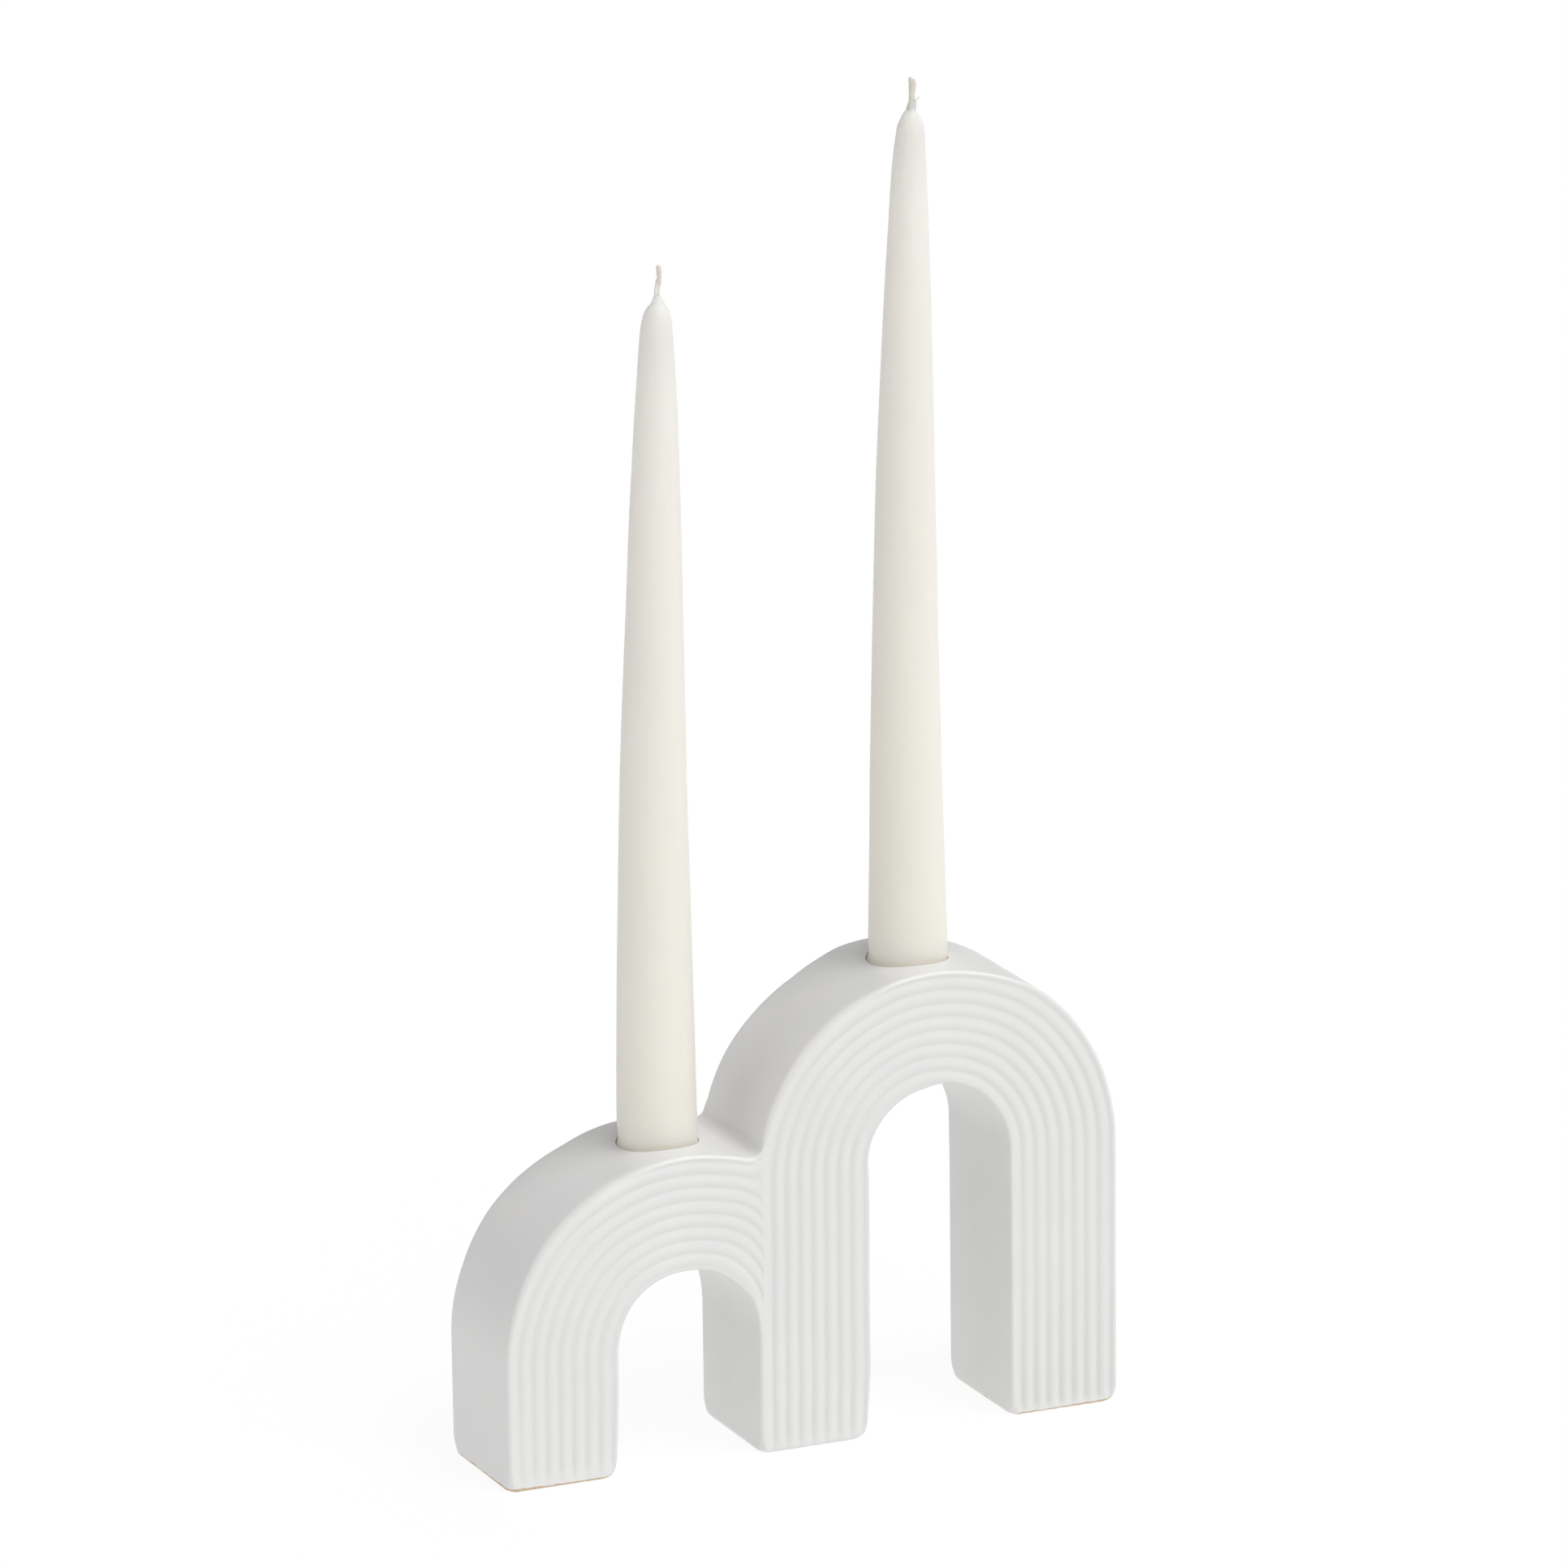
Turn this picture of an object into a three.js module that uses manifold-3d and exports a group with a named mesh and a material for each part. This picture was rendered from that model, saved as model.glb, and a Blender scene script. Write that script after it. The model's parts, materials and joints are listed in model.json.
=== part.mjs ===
// Double arch taper candle holder: one hollow, slip-cast ceramic body with a small and a tall ribbed arch that
// share a leg, and a dipped wax taper with its cotton wick standing in the socket at the crown of each arch.
// Millimetres. X runs along the arches, Y from the front to the back, Z up. The origin lies on the table, under
// the middle of the body.

import * as THREE from 'three';
import { mergeVertices } from 'three/addons/utils/BufferGeometryUtils.js';
import Module from 'manifold-3d';

const wasm = await Module();
wasm.setup();

// Ceramic body
const LEG_WIDTH = 32.8; // across a leg, and from the outside to the inside of an arch
const BODY_DEPTH = 38.4; // front to back
const SMALL_SPAN = 39.8; // clear width between the left and the shared leg
const SMALL_SPRING = 33.3; // height at which the small arch starts to curve
const TALL_SPAN = 39.8; // clear width between the shared and the right leg
const TALL_SPRING = 74.8; // height at which the tall arch starts to curve
const EDGE_ROUND = 1.5; // radius of the long edges of the legs and arches
const FOOT_ROUND = 1.2; // radius round the bottom of a foot
const CREASE_ROUND = 3; // hollow fillet where the small arch runs into the tall one
const WALL = 5; // thickness of the cast wall, and of the floor of a foot
const HOLLOW_ROUND = 3; // radius of the long edges inside
const POUR_HOLE_DIAMETER = 12; // hole under each foot, through which the slip was poured and drained

// Ribs on the front and back faces, following each arch
const RIB_COUNT = 8;
const RIB_MARGIN = 1.7; // from an edge of the face to the middle of the first groove
const GROOVE_DEPTH = 0.6;

// Candle sockets
const SOCKET_DEPTH = 20; // below the crown of the arch
const SOCKET_CLEARANCE = 0.55; // round the candle
const SOCKET_WALL = 4; // thickness of the cup inside the hollow arch
const SEAT_GAP = 0.3; // under a candle, and round a wick in its wax

// Taper candles
const TAPER_BASE_DIAMETER = 21.5;
const TAPER_SHOULDER_DIAMETER = 10; // where the tip starts
const TAPER_TIP_DIAMETER = 3; // where the wick comes out
const TAPER_LENGTH = 246; // wax alone
const TAPER_TIP_LENGTH = 19.5; // from the shoulder to the end of the wax
const TAPER_CURVE = 1.45; // 1 is a plain cone, more keeps the lower part fuller
const TIP_FULLNESS = 1.65; // 1 is a pointed tip, 2 a round one
const BASE_CHAMFER = 0.8; // round the bottom of the wax
const SMALL_TAPER_BOW = 4; // how far the candle's top has bent towards the right
const TALL_TAPER_BOW = 3;
const WICK_DIAMETER = 1.8;
const WICK_PROUD = 8.5; // above the wax

// Fineness of the round surfaces
const ARCH_STEPS = 20;
const RIB_STEPS = 4;
const CORNER_STEPS = 2;
const SOCKET_SIDES = 32;
const TAPER_SIDES = 24;
const TAPER_STEPS = 10;
const TIP_STEPS = 5;
const WICK_SIDES = 8;

const BODY_WIDTH = 3 * LEG_WIDTH + SMALL_SPAN + TALL_SPAN;
const SOCKET_RADIUS = TAPER_BASE_DIAMETER / 2 + SOCKET_CLEARANCE;
const OVERSHOOT = 10; // how far a cutting shape runs past what it cuts
const WELD_DISTANCE = 1e-4; // corners this close are one corner

// An arch is named by its left edge: radii to the outside and the inside, centre line, spring and crown heights.
function archAt(left, span, spring) {
  const inner = span / 2;
  const outer = inner + LEG_WIDTH;
  return { inner, outer, spring, x: left + outer, crown: spring + outer };
}

const smallArch = archAt(-BODY_WIDTH / 2, SMALL_SPAN, SMALL_SPRING);
const tallArch = archAt(-BODY_WIDTH / 2 + LEG_WIDTH + SMALL_SPAN, TALL_SPAN, TALL_SPRING);
const sharedLegLeft = tallArch.x - tallArch.outer;
const legCentres = [
  smallArch.x - smallArch.outer + LEG_WIDTH / 2,
  sharedLegLeft + LEG_WIDTH / 2,
  tallArch.x + tallArch.outer - LEG_WIDTH / 2,
];

function toSolid(geometry) {
  const bare = geometry.clone();
  bare.deleteAttribute('normal');
  bare.deleteAttribute('uv');
  const welded = mergeVertices(bare, WELD_DISTANCE);
  const mesh = new wasm.Mesh({
    numProp: 3,
    vertProperties: new Float32Array(welded.attributes.position.array),
    triVerts: new Uint32Array(welded.index.array),
  });
  return new wasm.Manifold(mesh);
}

function toGeometry(solid) {
  const mesh = solid.getMesh();
  const geometry = new THREE.BufferGeometry();
  geometry.setAttribute('position', new THREE.BufferAttribute(mesh.vertProperties, mesh.numProp));
  geometry.setIndex(new THREE.BufferAttribute(mesh.triVerts, 1));
  geometry.computeVertexNormals();
  return geometry;
}

// An upright cylinder whose axis is the vertical through x.
function uprightCylinder(x, radius, bottom, top) {
  const geometry = new THREE.CylinderGeometry(radius, radius, top - bottom, SOCKET_SIDES);
  geometry.rotateX(Math.PI / 2);
  geometry.translate(x, 0, (bottom + top) / 2);
  return toSolid(geometry);
}

// Sections across a leg or an arch are drawn as corners [u, v]: u from the outside of the arch towards its inside,
// v from the front to the back.

// The ribbed front face, as corners from one long edge to the other. Between two grooves a rib is full and flat
// in its middle and falls away steeply beside the grooves.
function ribbedFace() {
  const pitch = (LEG_WIDTH - 2 * RIB_MARGIN) / RIB_COUNT;
  const corners = [];
  for (let step = 0; step <= RIB_COUNT * RIB_STEPS; step += 1) {
    const across = (step % RIB_STEPS) / RIB_STEPS;
    const fall = Math.abs(2 * across - 1);
    corners.push([RIB_MARGIN + (pitch * step) / RIB_STEPS, -BODY_DEPTH / 2 + GROOVE_DEPTH * fall ** 3]);
  }
  return corners;
}

function roundedCorner(u, v, radius, startAngle) {
  const corners = [];
  for (let step = 0; step <= CORNER_STEPS; step += 1) {
    const angle = startAngle + (Math.PI / 2) * (step / CORNER_STEPS);
    corners.push([u + radius * Math.cos(angle), v + radius * Math.sin(angle)]);
  }
  return corners;
}

// A rectangle with round corners, anticlockwise from its outer front corner; its front and back faces can be
// given as corners of their own.
function roundedSection(low, high, halfDepth, radius, frontFace = []) {
  const backFace = frontFace.map(([u, v]) => [u, -v]).reverse();
  return [
    ...roundedCorner(low + radius, -halfDepth + radius, radius, Math.PI),
    ...frontFace,
    ...roundedCorner(high - radius, -halfDepth + radius, radius, 1.5 * Math.PI),
    ...roundedCorner(high - radius, halfDepth - radius, radius, 0),
    ...backFace,
    ...roundedCorner(low + radius, halfDepth - radius, radius, Math.PI / 2),
  ];
}

const outerSection = roundedSection(0, LEG_WIDTH, BODY_DEPTH / 2, EDGE_ROUND, ribbedFace());
const hollowSection = roundedSection(WALL, LEG_WIDTH - WALL, BODY_DEPTH / 2 - WALL, HOLLOW_ROUND);

// The stations of a sweep from the left foot over the arch: angle round the arch, height of its centre, and how
// far the section has shrunk towards its own middle.
function footStations(angle, bottom, footRound) {
  const stations = [];
  for (let step = 0; step <= CORNER_STEPS; step += 1) {
    const turn = (Math.PI / 2) * (step / CORNER_STEPS);
    stations.push({
      angle,
      height: bottom + footRound * (1 - Math.cos(turn)),
      inset: footRound * (1 - Math.sin(turn)),
    });
  }
  return stations;
}

function archStations(arch, bottom, footRound, hasRightLeg) {
  const stations = footStations(Math.PI, bottom, footRound);
  for (let step = 0; step <= ARCH_STEPS; step += 1) {
    stations.push({ angle: Math.PI * (1 - step / ARCH_STEPS), height: arch.spring, inset: 0 });
  }
  if (hasRightLeg) stations.push(...footStations(0, bottom, footRound).reverse());
  return stations;
}

function sweep(arch, section, stations) {
  const halfDepth = BODY_DEPTH / 2;
  const positions = [];
  for (const { angle, height, inset } of stations) {
    for (const [u, v] of section) {
      const radius = arch.outer - LEG_WIDTH / 2 - (u - LEG_WIDTH / 2) * (1 - (2 * inset) / LEG_WIDTH);
      const y = v * (1 - inset / halfDepth);
      positions.push(arch.x + radius * Math.cos(angle), y, height + radius * Math.sin(angle));
    }
  }
  const count = section.length;
  const lastRing = (stations.length - 1) * count;
  const triangles = [];
  for (let ring = 0; ring < lastRing; ring += count) {
    for (let corner = 0; corner < count; corner += 1) {
      const next = (corner + 1) % count;
      triangles.push(ring + corner, ring + next, ring + count + next);
      triangles.push(ring + corner, ring + count + next, ring + count + corner);
    }
  }
  const outline = section.map(([u, v]) => new THREE.Vector2(u, v));
  for (const [a, b, c] of THREE.ShapeUtils.triangulateShape(outline, [])) {
    triangles.push(a, c, b);
    triangles.push(lastRing + a, lastRing + b, lastRing + c);
  }
  const geometry = new THREE.BufferGeometry();
  geometry.setAttribute('position', new THREE.Float32BufferAttribute(positions, 3));
  geometry.setIndex(triangles);
  return toSolid(geometry);
}

// The hollow fillet in the crease between the small arch and the shared leg or, higher up, the tall arch.
function creaseFillet() {
  const reach = smallArch.outer + CREASE_ROUND;
  const centre = new THREE.Vector2(sharedLegLeft - CREASE_ROUND, 0);
  centre.y = smallArch.spring + Math.sqrt(reach ** 2 - (centre.x - smallArch.x) ** 2);
  const small = new THREE.Vector2(smallArch.x, smallArch.spring);
  let wallSide = new THREE.Vector2(sharedLegLeft, centre.y);
  if (centre.y > tallArch.spring) {
    const tall = new THREE.Vector2(tallArch.x, tallArch.spring);
    const tallReach = tallArch.outer + CREASE_ROUND;
    const between = tall.clone().sub(small);
    const distance = between.length();
    const along = (distance ** 2 + reach ** 2 - tallReach ** 2) / (2 * distance);
    const aside = Math.sqrt(reach ** 2 - along ** 2);
    between.normalize();
    centre.set(
      small.x + between.x * along - between.y * aside,
      small.y + between.y * along + between.x * aside,
    );
    wallSide = centre.clone().lerp(tall, CREASE_ROUND / tallReach);
  }
  const archSide = centre.clone().lerp(small, CREASE_ROUND / reach);
  const from = Math.atan2(archSide.y - centre.y, archSide.x - centre.x);
  const to = Math.atan2(wallSide.y - centre.y, wallSide.x - centre.x);
  const outline = new THREE.Shape();
  outline.moveTo(sharedLegLeft + LEG_WIDTH / 2, archSide.y - LEG_WIDTH / 2);
  outline.lineTo(sharedLegLeft + LEG_WIDTH / 2, wallSide.y);
  outline.absarc(centre.x, centre.y, CREASE_ROUND, to, from, true);
  outline.closePath();
  const length = BODY_DEPTH - 2 * EDGE_ROUND;
  const geometry = new THREE.ExtrudeGeometry(outline, {
    depth: length,
    bevelEnabled: false,
    curveSegments: 3 * CORNER_STEPS,
  });
  geometry.rotateX(Math.PI / 2);
  geometry.translate(0, length / 2, 0);
  return toSolid(geometry);
}

// The small arch stops inside the edge of the shared leg, so that its ribs end there and the leg's run on.
function smallArchOutside() {
  const whole = sweep(smallArch, outerSection, archStations(smallArch, 0, FOOT_ROUND, false));
  const beyond = new THREE.BoxGeometry(BODY_WIDTH, BODY_DEPTH + OVERSHOOT, 2 * tallArch.crown);
  beyond.translate(sharedLegLeft + EDGE_ROUND + BODY_WIDTH / 2, 0, 0);
  return whole.subtract(toSolid(beyond));
}

function socketCup(arch) {
  const floor = arch.crown - SOCKET_DEPTH;
  return uprightCylinder(arch.x, SOCKET_RADIUS + SOCKET_WALL, floor - SOCKET_WALL, arch.crown + OVERSHOOT);
}

function socketBore(arch) {
  return uprightCylinder(arch.x, SOCKET_RADIUS, arch.crown - SOCKET_DEPTH, arch.crown + OVERSHOOT);
}

function holderBody() {
  let body = sweep(tallArch, outerSection, archStations(tallArch, 0, FOOT_ROUND, true));
  body = body.add(smallArchOutside());
  body = body.add(creaseFillet());
  let hollow = sweep(tallArch, hollowSection, archStations(tallArch, WALL, 0, true));
  hollow = hollow.add(sweep(smallArch, hollowSection, archStations(smallArch, WALL, 0, false)));
  for (const x of legCentres) {
    hollow = hollow.add(uprightCylinder(x, POUR_HOLE_DIAMETER / 2, -OVERSHOOT, 2 * WALL));
  }
  for (const arch of [smallArch, tallArch]) hollow = hollow.subtract(socketCup(arch));
  body = body.subtract(hollow);
  for (const arch of [smallArch, tallArch]) body = body.subtract(socketBore(arch));
  return toGeometry(body);
}

// Heights along a candle, from the bottom of its wax, at which its side and its wick change direction.
function taperHeights() {
  const shoulder = TAPER_LENGTH - TAPER_TIP_LENGTH;
  const mouth = SOCKET_DEPTH - SEAT_GAP;
  const heights = [];
  for (let step = 0; step <= TAPER_STEPS; step += 1) {
    heights.push(mouth + ((shoulder - mouth) * step) / TAPER_STEPS);
  }
  return heights;
}

function taperRadius(height) {
  const shoulder = TAPER_LENGTH - TAPER_TIP_LENGTH;
  const mouth = SOCKET_DEPTH - SEAT_GAP;
  if (height <= shoulder) {
    const rise = Math.max(0, height - mouth) / (shoulder - mouth);
    return (TAPER_BASE_DIAMETER - (TAPER_BASE_DIAMETER - TAPER_SHOULDER_DIAMETER) * rise ** TAPER_CURVE) / 2;
  }
  const rise = Math.min(1, (height - shoulder) / TAPER_TIP_LENGTH);
  const dome = (1 - rise ** TIP_FULLNESS) ** (1 / TIP_FULLNESS);
  return (TAPER_TIP_DIAMETER + (TAPER_SHOULDER_DIAMETER - TAPER_TIP_DIAMETER) * dome) / 2;
}

// A candle bends slowly to one side above its socket; its wax and its wick share the bend.
function bend(geometry, bow) {
  const mouth = SOCKET_DEPTH - SEAT_GAP;
  const position = geometry.attributes.position;
  for (let i = 0; i < position.count; i += 1) {
    const rise = Math.max(0, position.getZ(i) - mouth) / (TAPER_LENGTH - mouth);
    position.setX(i, position.getX(i) + bow * rise ** 2);
  }
  return geometry;
}

function turned(profile, sides) {
  const points = profile.map(([radius, height]) => new THREE.Vector2(radius, height));
  const geometry = new THREE.LatheGeometry(points, sides);
  geometry.rotateX(Math.PI / 2);
  return toGeometry(toSolid(geometry));
}

function taperWax(bow) {
  const heights = taperHeights();
  const boreRadius = WICK_DIAMETER / 2 + SEAT_GAP;
  const tipHeights = [];
  for (let step = 1; step <= TIP_STEPS; step += 1) {
    const turn = (Math.PI / 2) * (step / TIP_STEPS);
    tipHeights.push(TAPER_LENGTH - TAPER_TIP_LENGTH * (1 - Math.sin(turn)));
  }
  const side = [...heights, ...tipHeights].map((height) => [taperRadius(height), height]);
  const bore = [...heights].reverse().map((height) => [boreRadius, height]);
  const baseRadius = TAPER_BASE_DIAMETER / 2;
  const profile = [
    [boreRadius, 0],
    [baseRadius - BASE_CHAMFER, 0],
    [baseRadius, BASE_CHAMFER],
    ...side,
    [boreRadius, TAPER_LENGTH],
    ...bore,
    [boreRadius, 0],
  ];
  return bend(turned(profile, TAPER_SIDES), bow);
}

function taperWick(bow) {
  const radius = WICK_DIAMETER / 2;
  const heights = [0, ...taperHeights(), TAPER_LENGTH, TAPER_LENGTH + WICK_PROUD];
  const side = heights.map((height) => [radius, height]);
  return bend(turned([[0, 0], ...side, [0, TAPER_LENGTH + WICK_PROUD]], WICK_SIDES), bow);
}

const glaze = new THREE.MeshStandardMaterial({ color: 0xf1f0ee, roughness: 0.38, metalness: 0 });
const wax = new THREE.MeshStandardMaterial({ color: 0xefece0, roughness: 0.5, metalness: 0 });
const cotton = new THREE.MeshStandardMaterial({ color: 0xe6dcc8, roughness: 0.95, metalness: 0 });

const holder = new THREE.Group();

function addPiece(name, geometry, material, x = 0, z = 0) {
  const mesh = new THREE.Mesh(geometry, material);
  mesh.name = name;
  mesh.position.set(x, 0, z);
  holder.add(mesh);
}

addPiece('holder_body', holderBody(), glaze);
const candles = [
  { name: 'small_arch', arch: smallArch, bow: SMALL_TAPER_BOW },
  { name: 'tall_arch', arch: tallArch, bow: TALL_TAPER_BOW },
];
for (const { name, arch, bow } of candles) {
  const seat = arch.crown - SOCKET_DEPTH + SEAT_GAP;
  addPiece(`${name}_taper`, taperWax(bow), wax, arch.x, seat);
  addPiece(`${name}_wick`, taperWick(bow), cotton, arch.x, seat);
}

export default holder;
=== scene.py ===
import json
import math

import bmesh
import bpy
import numpy as np
from mathutils import Matrix, Vector


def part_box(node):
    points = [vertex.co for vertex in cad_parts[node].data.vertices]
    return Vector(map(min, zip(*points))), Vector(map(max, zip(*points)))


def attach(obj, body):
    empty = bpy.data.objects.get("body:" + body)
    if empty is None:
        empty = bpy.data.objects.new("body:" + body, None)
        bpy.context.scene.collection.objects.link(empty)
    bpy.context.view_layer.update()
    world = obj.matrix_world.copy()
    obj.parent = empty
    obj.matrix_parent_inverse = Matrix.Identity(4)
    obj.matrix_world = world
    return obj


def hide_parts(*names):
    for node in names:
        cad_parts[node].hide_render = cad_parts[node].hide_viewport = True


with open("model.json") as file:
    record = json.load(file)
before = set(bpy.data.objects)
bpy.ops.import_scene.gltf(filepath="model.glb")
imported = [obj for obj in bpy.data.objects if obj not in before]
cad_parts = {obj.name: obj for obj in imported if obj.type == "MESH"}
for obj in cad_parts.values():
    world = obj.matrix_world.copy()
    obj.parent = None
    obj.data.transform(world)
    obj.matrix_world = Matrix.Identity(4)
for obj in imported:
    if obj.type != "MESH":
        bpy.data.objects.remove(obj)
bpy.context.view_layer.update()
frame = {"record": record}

MM = 0.001


def in_mm(metres):
    """A size of the frame in millimetres, to the tenth that its solids are drawn to."""
    return round(metres / MM, 1)


# Sizes of the ceramic body, in millimetres, from the frame: the box of its solid, how far apart its feet are,
# and how much higher the tall arch holds its candle
body_low, body_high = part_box("holder_body")
feet = {mount["name"]: mount["pos_m"][0] for mount in frame["record"]["mounts"]}
foot_pitch = feet["right_foot"] - feet["shared_foot"]
leg_width = body_high.x - body_low.x - 2 * foot_pitch
tall_spring = body_high.z - (foot_pitch - leg_width) / 2 - leg_width
candle_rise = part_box("tall_arch_taper")[0].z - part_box("small_arch_taper")[0].z
LEG_WIDTH = in_mm(leg_width)
BODY_DEPTH = in_mm(body_high.y - body_low.y)
SPAN = in_mm(foot_pitch - leg_width)
SMALL_SPRING = in_mm(tall_spring - candle_rise)
TALL_SPRING = in_mm(tall_spring)

# Its inside; these sizes and those below are in millimetres too
WALL = 5.0
HOLLOW_ROUND = 3.0
POUR_HOLE_RADIUS = 6.0

# Where the small arch's back meets the side of the tall arch: the hollow fillet, how steep it gets before a
# straight line goes on into the tall arch, how far that goes, and how far the small arch itself reaches in
CREASE_ROUND = 4.0
CREASE_STEEPEST = 0.94
CREASE_STRAIGHT = 0.85
SMALL_ARCH_OVERLAP = 5.0
# There the ribs fade, the small arch's faces end and tuck under the tall one's, and the fillet's lift fades
# across it: each range is a start and a width
SMALL_FACE_END = 0.9
CREASE_RIB_FADE = (-0.2, 1.7)
CREASE_TUCK = 1.2
CREASE_TUCK_OVER = (1.4, 2.2)
CREASE_LIFT_FADE = (1.5, 10)

# Feet: the rounding underneath each, and that of their upright corners, which ends at a height
LEFT_FOOT_ROUND = 0.7
SHARED_FOOT_ROUND = 1.3
RIGHT_FOOT_ROUND = 0.9
FOOT_CORNER_ROUND = 5.0
FOOT_FRONT_LEFT_ROUND = 3.4
FOOT_CORNER_RISE = 5.5
# Bare clay: the outer legs, from this far aside, are wiped clean of glaze up to these heights, the shared leg
# less so
OUTER_LEG_STARTS = 30.0
LEFT_CLAY_TOP = 0.68
SHARED_CLAY_TOP = 0.1
RIGHT_CLAY_TOP = 0.52
CLAY_FADE = 0.5
# Its edge rises towards two corners: their place, how much, and from how far
CLAY_CORNERS = [(-88, -18, 0.35, 14), (88, -18, 0.3, 22)]

# Edges of the front and the back, by degrees from the crown to the right: the outer edge is soft up the left
# flank and turns crisp before the crown, a little later on the small arch
OUTER_ROUND = ([-90, -60, -45, -30, -22, -12, 0, 90], [1.3, 2.0, 2.8, 3.3, 2.2, 1.1, 0.9, 1.1])
INNER_ROUND = 1.0
LEAST_ROUND = 0.9
SMALL_ARCH_LAG = 8
# How far the sides that face left draw in towards the front
SMALL_OUTER_DRAW = ([-90, -75, -60, -45, -30, -15, 0, 15], [1.6, 1.5, 1.4, 1.3, 1.1, 0.7, 0.4, 0.4])
TALL_OUTER_DRAW = (
    [-90, -80, -70, -60, -45, -30, -15, 0, 20, 35],
    [1.2, 1.1, 1.1, 1.2, 0.7, 0.3, 0.4, 0.5, 0.4, 0.0],
)
CREASE_DRAW = 1.05
INNER_DRAW = ([-10, 10, 90], [0.0, 1.2, 1.2])
DRAW_WIDTH = 4.5

# Ribs
RIB_COUNT = 8
RIB_MARGIN = 1.4
GROOVE_DEPTH = 0.5
GROOVE_SHARPNESS = 2.2
GROOVE_BOTTOM_ROUND = 0.25
# The first groove shows from the left shoulder on, the last one up to the crown: tilt at the start, and width
EDGE_GROOVE = 0.9
FIRST_GROOVE_RISE = (-50, 40)
LAST_GROOVE_FADE = (-5, 20)
# How far the grooves lie off their even places, away from the outside of the arch
GROOVE_SHIFT = ([-90, -60, -30, 0, 45, 90], [-0.25, 0.1, 0.35, 0.55, 0.8, 0.55])
# How deep they are round the arches, and how dark their painted shade is: both fade towards the crown
GROOVE_FADE = ([-75, -30, 0, 30, 75], [1.0, 0.85, 0.75, 0.85, 1.0])
GROOVE_PAINTED_SHADE = ([-90, -60, -30, 0, 30, 60, 90], [0.9, 0.7, 0.35, 0.1, 0.4, 0.6, 0.85])
# Their painted shade starts this far behind the plane of the front or the back: a start and a width
GROOVE_SHADE_DEPTHS = (-1.5, 0.8)
# The right leg's grooves deepen towards the foot, and the left leg's outer ones get fainter; at the very foot
# of the left, the shared and the right leg they fill with glaze
LOW_GROOVES = ([5, 40], [1.6, 1.0])
LEFT_OUTER_GROOVES = ([3, 14], [0.55, 1.0])
LEFT_OUTER_RISE = (10, 25)
FOOT_GROOVES = [([1.0, 5.0], [0.15, 1.0]), ([0.5, 4.5], [0.35, 1.0]), ([0.3, 2.5], [0.3, 1.0])]
# A painted highlight, the thin bright line along the outer edge of the crown: over which tilts and depths,
# how much later on the small arch, how far in it lies, and its half width
PAINTED_HIGHLIGHT_TILTS = ((-28, 18), (12, 20))
PAINTED_HIGHLIGHT_DEPTHS = (-1.0, 0.7)
PAINTED_HIGHLIGHT_LAG = 5
PAINTED_HIGHLIGHT_PLACE = 0.65
PAINTED_HIGHLIGHT_WIDTH = 0.75
# It follows the fillet up to a lift, of which the cosine of the tilt there counts
PAINTED_HIGHLIGHT_LIFT = 0.6
PAINTED_HIGHLIGHT_COSINE = 0.93

# By how much points count as being on the inside, which is bare clay: behind the faces and below the sockets,
# between the sides, and round the sockets
INSIDE_MARGIN = 0.1
INSIDE_SIDE_MARGIN = 1
INSIDE_SOCKET_MARGIN = 1.5

# Sockets
SOCKET_DEPTH = 20.0
SOCKET_RADIUS = 11.05
SOCKET_WALL = 4.0
SOCKET_RIM_ROUND = 0.3
SOCKET_FLOOR_ROUND = 1.0
# How far the lid of the socket's cutter, and the other cutters, reach out of the body
SOCKET_LID_RISE = 5
CUTTER_REACH = 10

# Tapers, from the foot to the wax that climbs the wick: height above the socket's mouth, radius and bend
SMALL_TAPER = [
    (-19.7, 10.1, 0.0), (-6, 10.4, 0.0), (-3.5, 10.8, 0.0), (-2, 10.93, 0.0), (-0.8, 10.94, 0.0),
    (-0.3, 10.8, 0.03), (0.25, 10.55, 0.06), (1.2, 10.5, 0.06), (3, 10.6, 0.05), (5, 10.68, 0.03),
    (8, 10.65, 0.0), (12, 10.6, 0.0), (27, 10.36, 0.08), (47, 9.98, 0.19), (67, 9.52, 0.36), (87, 9.02, 0.49),
    (106, 8.56, 0.81), (126, 7.99, 1.32), (145, 7.39, 1.84), (165, 6.81, 2.35), (184, 6.07, 2.9),
    (194, 5.64, 3.2), (203, 5.14, 3.43), (213, 4.5, 3.6), (216, 4.26, 3.68), (218.2, 4.02, 3.77),
    (219.9, 3.72, 3.9), (221.4, 3.3, 3.99), (222.9, 2.43, 4.06), (223.7, 1.83, 4.15), (224.6, 1.37, 4.2),
    (225.2, 1.08, 4.12), (225.8, 0.84, 4.02), (226.2, 0.55, 3.98), (226.35, 0.25, 3.98),
]
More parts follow.
